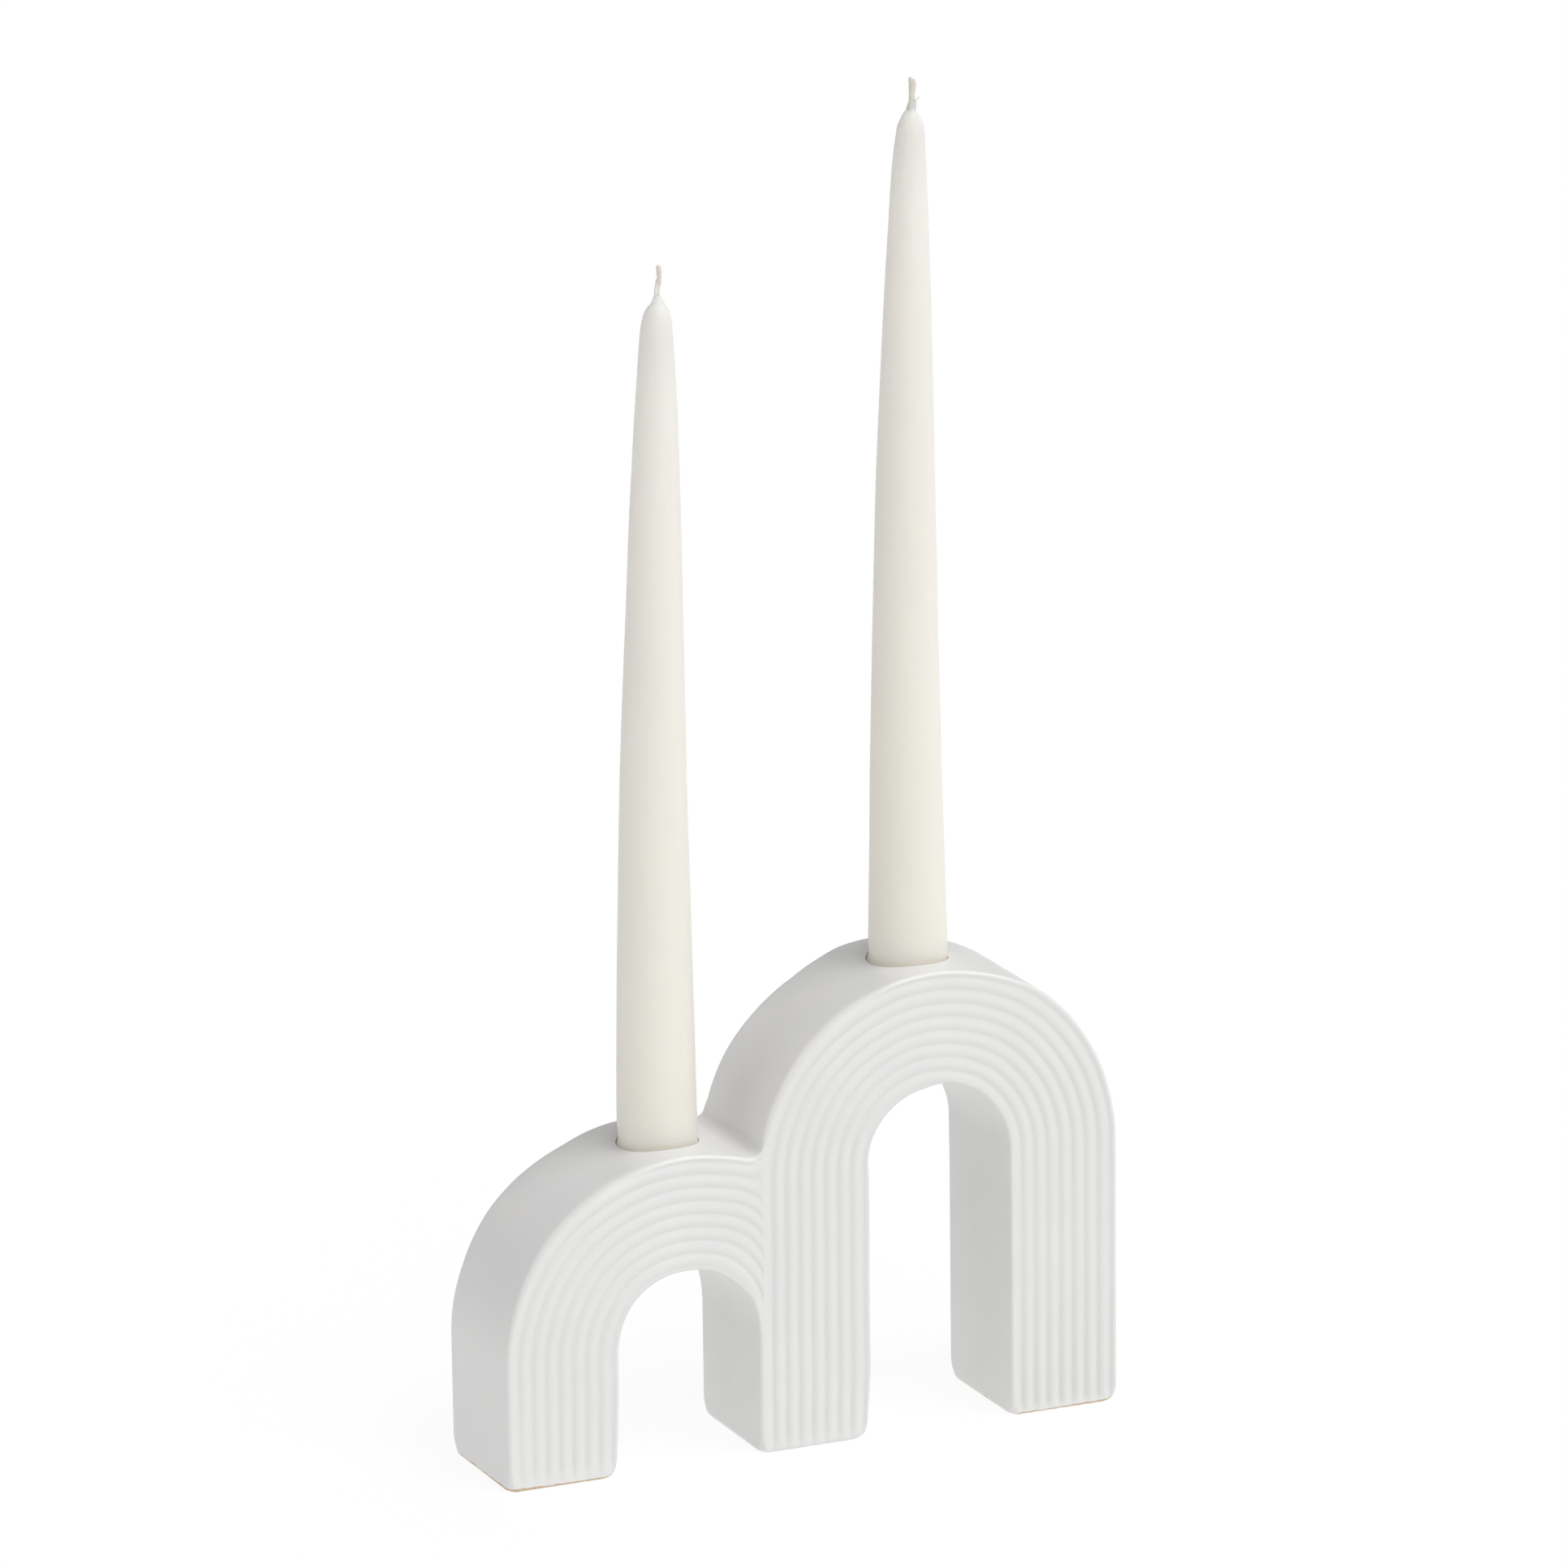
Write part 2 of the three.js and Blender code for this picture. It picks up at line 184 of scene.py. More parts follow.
TALL_TAPER = [
    (-19.7, 10.1, 0.1), (-6, 10.35, 0.1), (-3.5, 10.8, 0.05), (-2, 10.93, 0.0), (-0.8, 10.94, 0.0),
    (-0.3, 10.8, 0.08), (0.25, 10.52, 0.18), (1.2, 10.46, 0.24), (3, 10.56, 0.26), (5, 10.58, 0.26),
    (9, 10.48, 0.27), (19, 10.25, 0.27), (29, 10.0, 0.25), (49, 9.57, 0.18), (69, 9.14, 0.26),
    (89, 8.67, 0.33), (109, 8.24, 0.54), (128, 7.78, 0.72), (148, 7.2, 1.16), (167, 6.55, 1.57),
    (187, 5.75, 2.04), (196, 5.31, 2.26), (206, 4.84, 2.45), (211, 4.55, 2.57), (215, 4.27, 2.72),
    (218, 4.04, 2.88), (220.7, 3.78, 3.05), (222.8, 3.47, 3.12), (224.5, 2.81, 3.18), (225.8, 2.07, 3.1),
    (226.45, 1.62, 3.08), (227.4, 1.25, 3.4), (228.1, 1.15, 3.6), (229.0, 1.02, 3.72), (229.6, 0.8, 3.72),
    (230.0, 0.5, 3.72), (230.15, 0.2, 3.72),
]
# The foot's lower edge: rise and share of the foot's radius
FOOT_CHAMFER = [(0.0, 0.55), (0.0, 0.93), (0.25, 0.975)]
# How the wax is out of round: share of the radius, lobes, twist by height, and where the first lobe is
OVALITY = [(0.004, 2, 0.02, 0), (0.003, 3, -0.035, 1)]
# Over which heights the wax follows the curve of the crown, and over which painted shade tints it tan at the
# socket's mouth: where that rises and where it falls, each a start and a width
SAG_HEIGHTS = ((-8, 4), (-0.5, 3))
MOUTH_SHADE_HEIGHTS = ((-2.6, 1.6), (0.1, 1.3))

# Wick centre lines: height above the socket's mouth, sideways bend, how far the strands lie from it
SMALL_WICK = [
    (205, 3.5, 0.3), (224, 4.1, 0.3), (226, 3.97, 0.32), (227.3, 4.08, 0.31), (228.8, 4.4, 0.26),
    (230, 4.53, 0.2), (232.4, 4.52, 0.2), (233.4, 4.53, 0.14),
]
TALL_WICK = [
    (205, 2.5, 0.3), (224, 3.1, 0.5), (226, 3.15, 0.75), (227.4, 3.36, 0.82), (228.2, 3.55, 0.74),
    (229.5, 3.64, 0.46), (230.9, 3.56, 0.26), (232.4, 3.68, 0.36), (233.8, 3.75, 0.43), (235.1, 3.6, 0.43),
]
# Winding strands: turn at the top, pitch, radius at the wax and at the top, how much shorter than the centre
# line they are; and between which heights they swell
SMALL_STRANDS = [(-1.5, -25.0, 0.5, 0.68, 0.2), (1.64, -25.0, 0.48, 0.48, 3.4)]
TALL_STRANDS = [
    (3.1, 44.0, 0.5, 0.55, 0.0), (4.0, 44.0, 0.5, 0.54, 0.15), (4.9, 44.0, 0.5, 0.54, 0.3),
    (0.2, 44.0, 0.5, 0.54, 0.5),
]
STRAND_SWELL = (229.0, 232.0)
STRAY_FIBRE = [(4.0, -0.4, 228.7), (4.45, -0.55, 229.3), (4.8, -0.6, 229.75), (5.3, -0.6, 230.3)]
FIBRE_RADII = (0.22, 0.15)
# Up to which height wax has climbed each wick, on its left and its right, and how far from the centre line
# those sides lie
SMALL_CLIMB = (229.0, 228.2)
TALL_CLIMB = (226.8, 230.3)
CLIMB_SIDE = 0.8
CLIMB_FADE = 2.4

# Fineness of the meshes
RIB_STEPS = 12
CORNER_STEPS = 6
# The sides' points lie closer near the corners: how far from them, and how far the even ones stay away
NEAR_CORNER = [0.5, 1.0, 1.6, 2.4, 3.5, 5.0]
SIDE_EVEN_FROM = 8
SIDE_EVEN_POINTS = 9
ARC_STEPS = 108
HOLLOW_CORNER_STEPS = 3
HOLLOW_ARC_STEPS = 32
# The small arch's rings lie closer from this share of its arc on, to follow the crease
CREASE_PART = 0.88
CREASE_STEPS = 36
# A leg's rings: the steps of the foot's rounding; above it the first gap, how it grows with the height, and
# its greatest, up to a height; from there on an even gap
FOOT_ROUND_STEPS = 4
FOOT_RING_GAP = 0.3
FOOT_RING_GROWTH = 0.3
FOOT_RING_GREATEST = 1.2
FOOT_FINE_HEIGHT = 8.0
LEG_RING_GAP = 3.0
SOCKET_FLOOR_STEPS = 4
SOCKET_RIM_STEPS = 6
ROUND_SIDES = 96
# A taper's rings: from just above the foot to the swelling, close over that, then even, and close at the tip
FOOT_START = 0.8
FOOT_RINGS = 8
FOOT_END = -4.0
SWELL_START = -3.6
SWELL_TOP = 12.0
SWELL_RINGS = 56
TAPER_RINGS = 120
TIP_RINGS = 80
TIP_START = 212.0
WICK_STATIONS = 110
STRAND_SIDES = 14
FIBRE_SIDES = 8
CAP_STEPS = (0.15, 0.5, 0.85)
HOLE_SIDES = 64
SMOOTH_ANGLE = 38

# Colours, as linear values
GLAZE = ((0.772, 0.771, 0.765), (0.788, 0.783, 0.771))
# Painted shade: the glaze darkened in the grooves
GLAZE_SHADED_IN_GROOVES = (0.713, 0.713, 0.703)
# Painted highlight: the glaze brightened along the crisp outer edge
GLAZE_PAINTED_HIGHLIGHT = (0.90, 0.89, 0.87)
GLAZE_SPECK = (0.62, 0.60, 0.55)
BARE_CLAY = ((0.55, 0.41, 0.27), (0.66, 0.52, 0.37))
WAX_LOW = ((0.807, 0.79, 0.71), (0.822, 0.806, 0.735))
WAX_HIGH = ((0.797, 0.778, 0.735), (0.808, 0.792, 0.75))
WAX_TIP = (0.742, 0.728, 0.70)
# Painted shade: the wax tinted tan and darker at the socket's mouth
WAX_SHADED_AT_MOUTH = (0.80, 0.735, 0.60)
WAX_STREAK = (0.838, 0.828, 0.78)
COTTON = ((0.64, 0.605, 0.53), (0.78, 0.75, 0.68))
COTTON_WAXED = (0.79, 0.775, 0.71)
# Between which values most of a noise lies, and the narrower part of it that makes strong clouds
NOISE_SPAN = (0.3, 0.7)
CLOUDY_SPAN = (0.35, 0.65)

# Camera, matched to the photograph: where it stands and how it is turned, and its lens
CAMERA_PLACE = (-757.05, -1807.72, 690.43)
CAMERA_AZIMUTH = 22.761
CAMERA_ELEVATION = 14.646
CAMERA_ROLL = -0.75
CAMERA_LENS = 176.69
SENSOR_WIDTH = 36.0
CAMERA_CLIP = (0.05, 50)

# Studio: azimuth from the front to the right, elevation, strength, softness and colour of each lamp
NEUTRAL = (1.0, 1.0, 1.0)
ROSY = (1.0, 0.982, 1.0)
LAMPS = [
    ("front_high", 0, 60, 0.67, 45, NEUTRAL),
    ("front_low", 0, 25, 0.67, 45, NEUTRAL),
    ("key", 45, 60, 1.13, 28, NEUTRAL),
    ("side_right", 90, 30, 0.42, 45, NEUTRAL),
    ("back_right", 135, 45, 0.54, 45, NEUTRAL),
    ("back_left", -135, 15, 0.23, 45, ROSY),
    ("side_left", -90, 30, 0.41, 45, ROSY),
]
WORLD_STRENGTH = 0.12
FLOOR_REACH = 9000
FLOOR_COLOUR = 0.1
FLOOR_GLOW = 0.905


class Arch:
    """One arch by its left edge and the height at which it starts to curve."""

    def __init__(self, left, spring):
        self.inner = SPAN / 2
        self.outer = self.inner + LEG_WIDTH
        self.spring = spring
        self.x = left + self.outer
        self.crown = spring + self.outer


BODY_WIDTH = 3 * LEG_WIDTH + 2 * SPAN
small_arch = Arch(-BODY_WIDTH / 2, SMALL_SPRING)
tall_arch = Arch(-BODY_WIDTH / 2 + LEG_WIDTH + SPAN, TALL_SPRING)
SHARED_LEFT = tall_arch.x - tall_arch.outer
LEG_CENTRES = [-LEG_WIDTH - SPAN, 0.0, LEG_WIDTH + SPAN]


def smooth(t):
    """Rises softly from 0 to 1 where t does."""
    t = np.clip(t, 0, 1)
    return t * t * (3 - 2 * t)


def ramp(value, start, width):
    """Rises softly from 0 at start to 1 at start + width."""
    return smooth((value - start) / width)


def band(value, rise, fall):
    """1 between two ramps and 0 outside them; each is a start and a width."""
    return ramp(value, *rise) * (1 - ramp(value, *fall))


# Meshes

def make_object(name, vertices_mm, faces):
    mesh = bpy.data.meshes.new(name)
    mesh.from_pydata([tuple(v) for v in np.asarray(vertices_mm) * MM], [], faces)
    mesh.validate()
    obj = bpy.data.objects.new(name, mesh)
    bpy.context.scene.collection.objects.link(obj)
    return obj


def store_point_values(mesh, *channels):
    """Stores up to three values of each point as the colour attribute that the materials read."""
    count = len(mesh.vertices)
    values = np.zeros((count, 4))
    values[:, 3] = 1
    for index, channel in enumerate(channels):
        values[:, index] = channel
    layer = mesh.color_attributes.new("point_values", "FLOAT_COLOR", "POINT")
    layer.data.foreach_set("color", values.ravel())


def loft(name, rings):
    """A closed skin over rings of equally many points; each ring is an array of n x 3."""
    rings = np.asarray(rings)
    count, n = rings.shape[0], rings.shape[1]
    faces = []
    for ring in range(count - 1):
        low = ring * n
        for i in range(n):
            j = (i + 1) % n
            faces.append((low + i, low + j, low + n + j, low + n + i))
    faces.append(tuple(reversed(range(n))))
    faces.append(tuple(range((count - 1) * n, count * n)))
    obj = make_object(name, rings.reshape(-1, 3), faces)
    bm = bmesh.new()
    bm.from_mesh(obj.data)
    bmesh.ops.recalc_face_normals(bm, faces=bm.faces)
    bm.to_mesh(obj.data)
    bm.free()
    return obj


def cut(target, tool, operation):
    """Joins tool to target or takes it away, and removes the tool."""
    step = target.modifiers.new("cut", "BOOLEAN")
    step.operation = operation
    step.solver = "MANIFOLD"
    step.object = tool
    graph = bpy.context.evaluated_depsgraph_get()
    mesh = bpy.data.meshes.new_from_object(target.evaluated_get(graph))
    target.modifiers.clear()
    target.data = mesh
    bpy.data.objects.remove(tool)
    return target


def points_of(mesh):
    flat = np.empty(len(mesh.vertices) * 3)
    mesh.vertices.foreach_get("co", flat)
    return flat.reshape(-1, 3) / MM


def set_points(mesh, points_mm):
    mesh.vertices.foreach_set("co", (points_mm * MM).ravel())
    mesh.update()


# Ceramic body

def edge_grooves(tilt):
    """How strong the first and the last groove are where the arch tilts so many degrees to the right."""
    return EDGE_GROOVE * ramp(tilt, *FIRST_GROOVE_RISE), EDGE_GROOVE * (1 - ramp(tilt, *LAST_GROOVE_FADE))


def groove_recess(u, outer_factor, inner_factor):
    """How deep the ribbed face lies at u; the first and the last groove have their own strength."""
    pitch = (LEG_WIDTH - 2 * RIB_MARGIN) / RIB_COUNT
    nearest = np.clip(np.round((u - RIB_MARGIN) / pitch), 0, RIB_COUNT)
    distance = np.abs(u - RIB_MARGIN - nearest * pitch)
    soft = np.sqrt(distance**2 + GROOVE_BOTTOM_ROUND**2) - GROOVE_BOTTOM_ROUND
    depth = GROOVE_DEPTH * np.maximum(0.0, 1 - 2 * soft / pitch) ** GROOVE_SHARPNESS
    return depth * np.where(nearest == 0, outer_factor, np.where(nearest == RIB_COUNT, inner_factor, 1.0))


def leg_grooves(x, z, u):
    """How strong the grooves are on the legs; 1 higher up."""
    left, shared, right = (np.interp(z, *table) for table in FOOT_GROOVES)
    left = left * (1 - (1 - np.interp(u, *LEFT_OUTER_GROOVES)) * (1 - ramp(z, *LEFT_OUTER_RISE)))
    right = right * np.interp(z, *LOW_GROOVES)
    return np.where(x < -OUTER_LEG_STARTS, left, np.where(x < OUTER_LEG_STARTS, shared, right))


def outer_section():
    """Section across a leg without grooves: u from the outside of the arch, v to the back, and which points
    lie on the front (-1) and the back (+1)."""
    half = BODY_DEPTH / 2
    turn = np.linspace(0, math.pi / 2, CORNER_STEPS + 1)
    corner_u = LEAST_ROUND * (1 - np.cos(turn))
    corner_fall = LEAST_ROUND * (1 - np.sin(turn))
    rib_step = (LEG_WIDTH - 2 * RIB_MARGIN) / RIB_COUNT / RIB_STEPS
    first = RIB_MARGIN - rib_step
    middle_u = np.arange(first, LEG_WIDTH - first + rib_step / 2, rib_step)
    face_u = np.concatenate([corner_u, middle_u, LEG_WIDTH - corner_u[::-1]])
    fall = np.concatenate([corner_fall, np.zeros(len(middle_u)), corner_fall[::-1]])
    wide = half - LEAST_ROUND
    near_corner = np.array(NEAR_CORNER)
    middle_v = np.linspace(-wide + SIDE_EVEN_FROM, wide - SIDE_EVEN_FROM, SIDE_EVEN_POINTS)
    side_v = np.concatenate([-wide + near_corner, middle_v, wide - near_corner[::-1]])
    n, m = len(face_u), len(side_v)
    u = np.concatenate([face_u, np.full(m, LEG_WIDTH), face_u[::-1], np.zeros(m)])
    v = np.concatenate([-half + fall, side_v, half - fall[::-1], side_v[::-1]])
    face = np.concatenate([np.full(n, -1.0), np.zeros(m), np.full(n, 1.0), np.zeros(m)])
    return u, v, face


def round_corners(u, v, outer_round, inner_round):
    """Moves the points outside the rounded corners of the section onto them."""
    half = BODY_DEPTH / 2
    outer = u < LEG_WIDTH / 2
    radius = np.where(outer, outer_round, inner_round)
    over_u = np.maximum(0, np.where(outer, radius - u, u - LEG_WIDTH + radius))
    over_v = np.maximum(0, np.abs(v) - half + radius)
    reach = np.hypot(over_u, over_v)
    pull = np.where((over_u > 0) & (over_v > 0) & (reach > radius), 1 - radius / np.maximum(reach, 1e-9), 0)
    return u + np.where(outer, 1, -1) * over_u * pull, v - np.sign(v) * over_v * pull


def crease_lift(x):
    """How far the back of the small arch rises at x to meet the tall arch in a hollow fillet."""
    small, tall = np.array([small_arch.x, small_arch.spring]), np.array([tall_arch.x, tall_arch.spring])
    reach = small_arch.outer + CREASE_ROUND
    between = tall - small
    distance = np.linalg.norm(between)
    aside = math.sqrt(reach**2 - distance**2 / 4) / distance
    centre = (small + tall) / 2 + aside * np.array([-between[1], between[0]])
    start = centre[0] + (small[0] - centre[0]) * CREASE_ROUND / reach
    end = centre[0] + CREASE_STEEPEST * CREASE_ROUND
    on_fillet = np.clip(x, start, end)
    fillet = centre[1] - np.sqrt(CREASE_ROUND**2 - (on_fillet - centre[0]) ** 2)
    fillet += np.clip(x - end, 0, CREASE_STRAIGHT) * CREASE_STEEPEST / math.sqrt(1 - CREASE_STEEPEST**2)
    circle = small[1] + np.sqrt(np.maximum(0, small_arch.outer**2 - (x - small[0]) ** 2))
    return np.where(x > start, np.maximum(0, fillet - circle), 0)


def foot_heights(foot_round, spring):
    """Heights of a leg's rings, close together at the foot."""
    turn = np.linspace(0, math.pi / 2, FOOT_ROUND_STEPS + 1)
    low = list(foot_round * (1 - np.cos(turn)))
    while low[-1] < FOOT_FINE_HEIGHT:
        low.append(low[-1] + min(FOOT_RING_GREATEST, FOOT_RING_GAP + FOOT_RING_GROWTH * low[-1]))
    count = max(1, round((spring - low[-1]) / LEG_RING_GAP))
    return low + [low[-1] + (spring - low[-1]) * k / count for k in range(1, count)]


def outside_of_arch(name, arch, left_foot_round, right_foot_round, parts, end_x=None):
    """Sweeps the ribbed section from the left foot over the arch, to the right foot or to the upright plane
    at end_x."""
    base_u, base_v, face = outer_section()
    middle = LEG_WIDTH / 2
    half = BODY_DEPTH / 2
    rings = []

    def ring(angle, height, foot_round=None):
        tilt = 90 - math.degrees(np.ravel(angle)[0])
        outer_round = np.interp(tilt - (SMALL_ARCH_LAG if arch is small_arch else 0), *OUTER_ROUND)
        inner_round = INNER_ROUND
        inset = 0.0
        if foot_round is not None:
            widen = (1 - min(1, height / FOOT_CORNER_RISE)) ** 2
            left_foot = np.where(base_v < 0, FOOT_FRONT_LEFT_ROUND, FOOT_CORNER_ROUND)
            right_foot = np.full(len(base_v), FOOT_CORNER_ROUND)
            outer_foot, inner_foot = (left_foot, right_foot) if tilt < 0 else (right_foot, left_foot)
            outer_round = outer_round + (outer_foot - outer_round) * widen
            inner_round = inner_round + (inner_foot - inner_round) * widen
            rise = max(0, foot_round - height)
            inset = foot_round - math.sqrt(max(0, foot_round**2 - rise**2))
        u, v = round_corners(base_u, base_v, outer_round, inner_round)
        frontness = (half - v) / BODY_DEPTH
        outer_draw = SMALL_OUTER_DRAW if arch is small_arch else TALL_OUTER_DRAW
        drawn = u + frontness * np.interp(tilt, *outer_draw) * (1 - smooth(u / DRAW_WIDTH))
        drawn -= frontness * np.interp(tilt, *INNER_DRAW) * (1 - smooth((LEG_WIDTH - u) / DRAW_WIDTH))
        radius = arch.outer - middle - (drawn - middle) * (1 - 2 * inset / LEG_WIDTH)
        x = arch.x + radius * np.cos(angle)
        z = height + radius * np.sin(angle)
        recess = groove_recess(u - np.interp(tilt, *GROOVE_SHIFT), *edge_grooves(tilt))
        recess *= np.interp(tilt, *GROOVE_FADE) * leg_grooves(x, z, u)
        y = v - face * recess
        if end_x is not None:
            beyond = x - SHARED_LEFT - frontness * CREASE_DRAW
            y += (v - y) * ramp(beyond, *CREASE_RIB_FADE)
            limit = half - CREASE_TUCK * ramp(beyond, *CREASE_TUCK_OVER)
            y = np.clip(y, -limit, limit)
            z += crease_lift(SHARED_LEFT + beyond) * (1 - ramp(u, *CREASE_LIFT_FADE))
        return np.stack([x, y * (1 - inset / half), z], 1)

    for height in foot_heights(left_foot_round, arch.spring):
        rings.append(ring(math.pi, height, left_foot_round))
    end_angle = np.zeros(len(base_u))
    if end_x is not None:
        end_angle = np.arccos(np.clip((end_x - arch.x) / (arch.outer - base_u), -1, 1))
    for part in parts:
        rings.append(ring(math.pi - (math.pi - end_angle) * part, arch.spring))
    if end_x is None:
        for height in reversed(foot_heights(right_foot_round, arch.spring)):
            rings.append(ring(0.0, height, right_foot_round))
    return loft(name, rings)


def hollow_of_arch(name, arch, end_x=None):
    """The space inside an arch, from the wall under its left foot to the right foot or the plane at end_x."""
    half = BODY_DEPTH / 2 - WALL
    corners = (
        (WALL + HOLLOW_ROUND, -half + HOLLOW_ROUND, math.pi),
        (LEG_WIDTH - WALL - HOLLOW_ROUND, -half + HOLLOW_ROUND, 1.5 * math.pi),
        (LEG_WIDTH - WALL - HOLLOW_ROUND, half - HOLLOW_ROUND, 0.0),
        (WALL + HOLLOW_ROUND, half - HOLLOW_ROUND, math.pi / 2),
    )
    u, v = [], []
    for centre_u, centre_v, start in corners:
        for turn in np.linspace(0, math.pi / 2, HOLLOW_CORNER_STEPS + 1):
            u.append(centre_u + HOLLOW_ROUND * math.cos(start + turn))
            v.append(centre_v + HOLLOW_ROUND * math.sin(start + turn))
    u, v = np.array(u), np.array(v)

    def ring(angle, height):
        radius = arch.outer - u
        return np.stack([arch.x + radius * np.cos(angle), v, height + radius * np.sin(angle)], 1)

    end_angle = np.zeros(len(u))
    if end_x is not None:
        end_angle = np.arccos(np.clip((end_x - arch.x) / (arch.outer - u), -1, 1))
    rings = [ring(math.pi, WALL)]
    for part in np.linspace(0, 1, HOLLOW_ARC_STEPS + 1):
        rings.append(ring(math.pi - (math.pi - end_angle) * part, arch.spring))
    if end_x is None:
        rings.append(ring(0.0, WALL))
    return loft(name, rings)


def upright_cylinder(x, radius, bottom, top):
    turn = np.linspace(0, 2 * math.pi, HOLE_SIDES, endpoint=False)
    ring = np.stack([x + radius * np.cos(turn), radius * np.sin(turn)], 1)
    return loft("cylinder", [np.column_stack([ring, np.full(HOLE_SIDES, z)]) for z in (bottom, top)])


def socket_cutter(arch):
    """The socket with a soft rim that follows the curve of the crown, up to a flat lid above it."""
    turn = np.linspace(0, 2 * math.pi, ROUND_SIDES, endpoint=False)
    floor = arch.crown - SOCKET_DEPTH
    rings = []

    def flat_ring(radius, z):
        return np.stack([arch.x + radius * np.cos(turn), radius * np.sin(turn), np.full(ROUND_SIDES, z)], 1)

    def crown_ring(radius, drop):
        x = radius * np.cos(turn)
        z = arch.spring + np.sqrt(arch.outer**2 - x**2) - drop
        return np.stack([arch.x + x, radius * np.sin(turn), z], 1)

    for t in np.linspace(0, math.pi / 2, SOCKET_FLOOR_STEPS + 1):
        z = floor + SOCKET_FLOOR_ROUND - math.cos(t)
        rings.append(flat_ring(SOCKET_RADIUS - SOCKET_FLOOR_ROUND + math.sin(t), z))
    for t in np.linspace(0, math.pi / 2, SOCKET_RIM_STEPS + 1):
        widen, drop = SOCKET_RIM_ROUND * (1 - math.cos(t)), SOCKET_RIM_ROUND * (1 - math.sin(t))
        rings.append(crown_ring(SOCKET_RADIUS + widen, drop))
    rings.append(crown_ring(SOCKET_RADIUS + 2 * SOCKET_RIM_ROUND, -SOCKET_RIM_ROUND))
    rings.append(flat_ring(SOCKET_RADIUS + 2 * SOCKET_RIM_ROUND, arch.crown + SOCKET_LID_RISE))
    return loft("socket", rings)


# How far each side of each leg strays from straight, by height: (heights, stray) of the left and right side
LEG_STRAY = [
    (
        ([0, 60], [0.0, 0.0]),
        ([0, 4, 8, 12, 17, 21, 34, 40, 50], [-0.55, -0.45, -0.25, 0.0, 0.15, 0.4, 0.5, 0.45, 0.0]),
    ),
    (
        ([0, 36, 48], [-0.45, -0.42, 0.0]),
        (
            [0, 2, 6.5, 11, 15, 20, 26, 45, 58, 72, 85],
            [-1.1, -1.0, -0.75, -0.4, -0.1, 0.2, 0.12, 0.1, 0.25, 0.25, 0.0],
        ),
    ),
    (
        ([0, 60, 90], [0.25, 0.25, 0.0]),
        ([0, 20, 40], [0.1, 0.05, 0.0]),
    ),
]
# How far the outside and the inside of each arch stray from round, by degrees from the crown to the right
ARCH_STRAY = [
    (
        small_arch,
        (
            [-90, -70, -52, -40, -25, -14, 11, 17, 22, 90],
            [0, -0.2, 0.25, 0.2, -0.15, 0, 0, 0.3, 0.6, 0.6],
        ),
        (
            [-90, -72, -58, -44, -30, -15, 0, 10, 20, 29, 36, 43, 50, 64, 77, 90],
            [0, 0.1, 0.25, 0.52, 0.7, 0.82, 0.85, 1.05, 1.28, 1.4, 1.1, 0.8, 0.6, 0.35, 0.15, 0],
        ),
    ),
    (
        tall_arch,
        (
            [-90, -60, -42, -30, -20, -14, 14, 20, 32, 42, 55, 75, 90],
            [0, -0.1, -0.5, -0.6, -0.4, 0, 0, 0.15, 0.5, 0.35, 0, -0.25, 0],
        ),
        (
            [-90, -72, -58, -44, -30, -15, 0, 21, 30, 50, 64, 90],
            [0, 0.5, 0.62, 0.69, 0.8, 0.83, 0.6, 0.45, 0.48, 0.27, 0.2, 0],
        ),
    ),
]
STRAY_FALLOFF = 6.0


def handmade(points):
    """Lets the casting stray from its drawing by up to 1.4 mm, as the real one does."""
    x, y, z = points.T
    shift_x, shift_z = np.zeros(len(x)), np.zeros(len(x))
    for centre, (left_stray, right_stray) in zip(LEG_CENTRES, LEG_STRAY):
        across = (x - centre + LEG_WIDTH / 2) / LEG_WIDTH
        beyond = np.maximum(0, np.maximum(-across, across - 1)) * LEG_WIDTH
        across = np.clip(across, 0, 1)
        move = np.interp(z, *left_stray) * (1 - across) + np.interp(z, *right_stray) * across
        shift_x += move * (1 - smooth(beyond / STRAY_FALLOFF))
    for arch, outside, inside in ARCH_STRAY:
        dx, dz = x - arch.x, z - arch.spring
        distance = np.hypot(dx, dz)
        angle = np.degrees(np.arctan2(dx, dz))
        outward = np.clip((distance - arch.inner) / LEG_WIDTH, 0, 1)
        move = np.interp(angle, *outside) * outward + np.interp(angle, *inside) * (1 - outward)
        beyond = np.maximum(0, np.maximum(arch.inner - distance, distance - arch.outer))
        move = np.where(dz > 0, move, 0) * (1 - smooth(beyond / STRAY_FALLOFF))
        if arch is small_arch:
            move = move * (1 - ramp(x - SHARED_LEFT, -STRAY_FALLOFF / 2, STRAY_FALLOFF))
        shift_x += move * dx / np.maximum(distance, 1)
        shift_z += move * dz / np.maximum(distance, 1)
    return np.stack([x + shift_x, y, z + shift_z], 1)


def place_on_arch(points):
    """Of each point, its distance from the outside of its arch, its degrees from the crown to the right,
    whether it is on the small arch, and how far it lies beyond that arch's end."""
    x, y, z = points.T
    beyond = x - SHARED_LEFT - (0.5 - y / BODY_DEPTH) * CREASE_DRAW
    on_small = beyond < SMALL_FACE_END
    u, tilt = np.empty(len(x)), np.empty(len(x))
    for arch, members in ((small_arch, on_small), (tall_arch, ~on_small)):
        dx, dz = x - arch.x, np.maximum(0, z - arch.spring)
        u[members] = (arch.outer - np.hypot(dx, dz))[members]
        tilt[members] = np.degrees(np.arctan2(dx, dz))[members]
    return u, tilt, on_small, beyond


